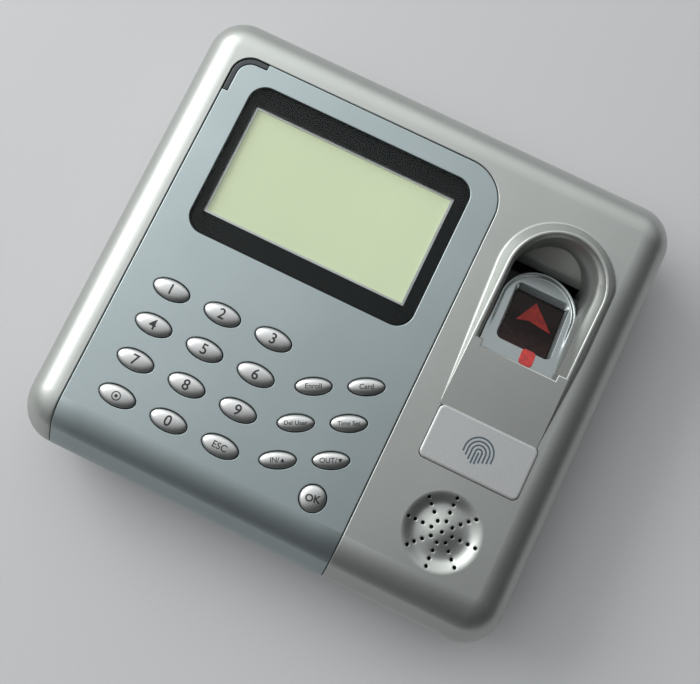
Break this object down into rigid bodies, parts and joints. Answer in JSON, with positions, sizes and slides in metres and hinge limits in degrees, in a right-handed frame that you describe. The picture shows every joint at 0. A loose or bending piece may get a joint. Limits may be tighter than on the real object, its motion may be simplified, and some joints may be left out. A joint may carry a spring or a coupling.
{
  "type": "fingerprint scanner terminal",
  "caption": "Wall-mounted fingerprint time-clock terminal with display window, oval keypad, hooded finger scanner, badge plate, speaker dish, rear sockets and a wall plate.",
  "frame": {"origin": "middle of the back, in the plane of the wall plate's back", "axes": "+Z out of the wall through the face, +Y towards the top edge, +X towards the scanner side"},
  "size_m": [0.174, 0.16, 0.0435],
  "materials": {
    "case_paint": "metallic silver paint on moulded plastic, satin",
    "panel_paint": "cool metallic silver paint on moulded plastic, satin",
    "window_acrylic": "clear hard-coated acrylic, polished",
    "mask_black": "black print on the back of the window",
    "frame_metal": "bright plated sheet steel",
    "lcd_face": "pale green reflective display, unlit",
    "board_green": "solder-masked fibreglass board",
    "screw_steel": "zinc-plated steel",
    "smoked_lens": "dark smoked translucent plastic",
    "silicone": "grey silicone rubber",
    "bezel_paint": "cool silver paint on moulded plastic",
    "sensor_glass": "polished optical glass over a dark red interior",
    "inner_black": "moulded black plastic",
    "badge_metal": "satin silver, slightly domed",
    "foam_black": "closed-cell foam",
    "block_green": "moulded green plastic",
    "ribbon_white": "flat flexible cable",
    "wire_sleeve": "soft wire insulation",
    "rear_black": "fine-textured dark grey plastic",
    "plate_zinc": "zinc-plated sheet steel",
    "plunger_red": "moulded red plastic",
    "key_silver": "satin silver, domed, with a printed label"
  },
  "bodies": {
    "terminal": {"front_cover": "case_paint", "keypad_panel": "panel_paint", "display_window": "window_acrylic", "window_mask": "mask_black", "lcd_frame": "frame_metal", "lcd_glass": "lcd_face", "lcd_board": "board_green", "lcd_screws": "screw_steel", "status_light": "smoked_lens", "key_membrane": "silicone", "keypad_board": "board_green", "keypad_screws": "screw_steel", "sensor_bezel": "bezel_paint", "sensor_window": "sensor_glass", "sensor_prism": "sensor_glass", "sensor_housing": "inner_black", "sensor_board": "board_green", "sensor_screws": "screw_steel", "badge_plate": "badge_metal", "speaker": "inner_black", "speaker_gasket": "foam_black", "speaker_retainer": "frame_metal", "speaker_screws": "screw_steel", "main_board": "board_green", "board_chips": "inner_black", "buzzer": "inner_black", "backup_battery": "frame_metal", "ethernet_jack": "frame_metal", "usb_port": "frame_metal", "power_jack": "inner_black", "terminal_block": "block_green", "board_screws": "screw_steel", "lcd_ribbon": "ribbon_white", "sensor_ribbon": "ribbon_white", "speaker_wires": "wire_sleeve", "rear_cover": "rear_black", "case_screws": "screw_steel", "wall_plate": "plate_zinc", "lock_screw": "screw_steel", "tamper_switch": "inner_black"},
    "tamper_plunger": {"tamper_plunger": "plunger_red"},
    "key_1": {"key_1": "key_silver"},
    "key_2": {"key_2": "key_silver"},
    "key_3": {"key_3": "key_silver"},
    "key_4": {"key_4": "key_silver"},
    "key_5": {"key_5": "key_silver"},
    "key_6": {"key_6": "key_silver"},
    "key_7": {"key_7": "key_silver"},
    "key_8": {"key_8": "key_silver"},
    "key_9": {"key_9": "key_silver"},
    "key_bell": {"key_bell": "key_silver"},
    "key_0": {"key_0": "key_silver"},
    "key_escape": {"key_escape": "key_silver"},
    "key_enrol": {"key_enrol": "key_silver"},
    "key_card": {"key_card": "key_silver"},
    "key_delete_user": {"key_delete_user": "key_silver"},
    "key_time_set": {"key_time_set": "key_silver"},
    "key_in_up": {"key_in_up": "key_silver"},
    "key_out_down": {"key_out_down": "key_silver"},
    "key_ok": {"key_ok": "key_silver"}
  },
  "joints": [
    {"name": "key_1_press", "type": "slide", "parent": "terminal", "child": "key_1", "axis": [0, 0, -1], "range_m": [0, 0.001], "stiffness_N_per_m": 500, "springref_m": -0.001},
    {"name": "key_2_press", "type": "slide", "parent": "terminal", "child": "key_2", "axis": [0, 0, -1], "range_m": [0, 0.001], "stiffness_N_per_m": 500, "springref_m": -0.001},
    {"name": "key_3_press", "type": "slide", "parent": "terminal", "child": "key_3", "axis": [0, 0, -1], "range_m": [0, 0.001], "stiffness_N_per_m": 500, "springref_m": -0.001},
    {"name": "key_4_press", "type": "slide", "parent": "terminal", "child": "key_4", "axis": [0, 0, -1], "range_m": [0, 0.001], "stiffness_N_per_m": 500, "springref_m": -0.001},
    {"name": "key_5_press", "type": "slide", "parent": "terminal", "child": "key_5", "axis": [0, 0, -1], "range_m": [0, 0.001], "stiffness_N_per_m": 500, "springref_m": -0.001},
    {"name": "key_6_press", "type": "slide", "parent": "terminal", "child": "key_6", "axis": [0, 0, -1], "range_m": [0, 0.001], "stiffness_N_per_m": 500, "springref_m": -0.001},
    {"name": "key_7_press", "type": "slide", "parent": "terminal", "child": "key_7", "axis": [0, 0, -1], "range_m": [0, 0.001], "stiffness_N_per_m": 500, "springref_m": -0.001},
    {"name": "key_8_press", "type": "slide", "parent": "terminal", "child": "key_8", "axis": [0, 0, -1], "range_m": [0, 0.001], "stiffness_N_per_m": 500, "springref_m": -0.001},
    {"name": "key_9_press", "type": "slide", "parent": "terminal", "child": "key_9", "axis": [0, 0, -1], "range_m": [0, 0.001], "stiffness_N_per_m": 500, "springref_m": -0.001},
    {"name": "key_bell_press", "type": "slide", "parent": "terminal", "child": "key_bell", "axis": [0, 0, -1], "range_m": [0, 0.001], "stiffness_N_per_m": 500, "springref_m": -0.001},
    {"name": "key_0_press", "type": "slide", "parent": "terminal", "child": "key_0", "axis": [0, 0, -1], "range_m": [0, 0.001], "stiffness_N_per_m": 500, "springref_m": -0.001},
    {"name": "key_escape_press", "type": "slide", "parent": "terminal", "child": "key_escape", "axis": [0, 0, -1], "range_m": [0, 0.001], "stiffness_N_per_m": 500, "springref_m": -0.001},
    {"name": "key_enrol_press", "type": "slide", "parent": "terminal", "child": "key_enrol", "axis": [0, 0, -1], "range_m": [0, 0.001], "stiffness_N_per_m": 500, "springref_m": -0.001},
    {"name": "key_card_press", "type": "slide", "parent": "terminal", "child": "key_card", "axis": [0, 0, -1], "range_m": [0, 0.001], "stiffness_N_per_m": 500, "springref_m": -0.001},
    {"name": "key_delete_user_press", "type": "slide", "parent": "terminal", "child": "key_delete_user", "axis": [0, 0, -1], "range_m": [0, 0.001], "stiffness_N_per_m": 500, "springref_m": -0.001},
    {"name": "key_time_set_press", "type": "slide", "parent": "terminal", "child": "key_time_set", "axis": [0, 0, -1], "range_m": [0, 0.001], "stiffness_N_per_m": 500, "springref_m": -0.001},
    {"name": "key_in_up_press", "type": "slide", "parent": "terminal", "child": "key_in_up", "axis": [0, 0, -1], "range_m": [0, 0.001], "stiffness_N_per_m": 500, "springref_m": -0.001},
    {"name": "key_out_down_press", "type": "slide", "parent": "terminal", "child": "key_out_down", "axis": [0, 0, -1], "range_m": [0, 0.001], "stiffness_N_per_m": 500, "springref_m": -0.001},
    {"name": "key_ok_press", "type": "slide", "parent": "terminal", "child": "key_ok", "axis": [0, 0, -1], "range_m": [0, 0.001], "stiffness_N_per_m": 500, "springref_m": -0.001},
    {"name": "tamper_press", "type": "slide", "parent": "terminal", "child": "tamper_plunger", "axis": [0, 0, 1], "range_m": [0, 0.0005], "stiffness_N_per_m": 300, "springref_m": -0.001}
  ]
}
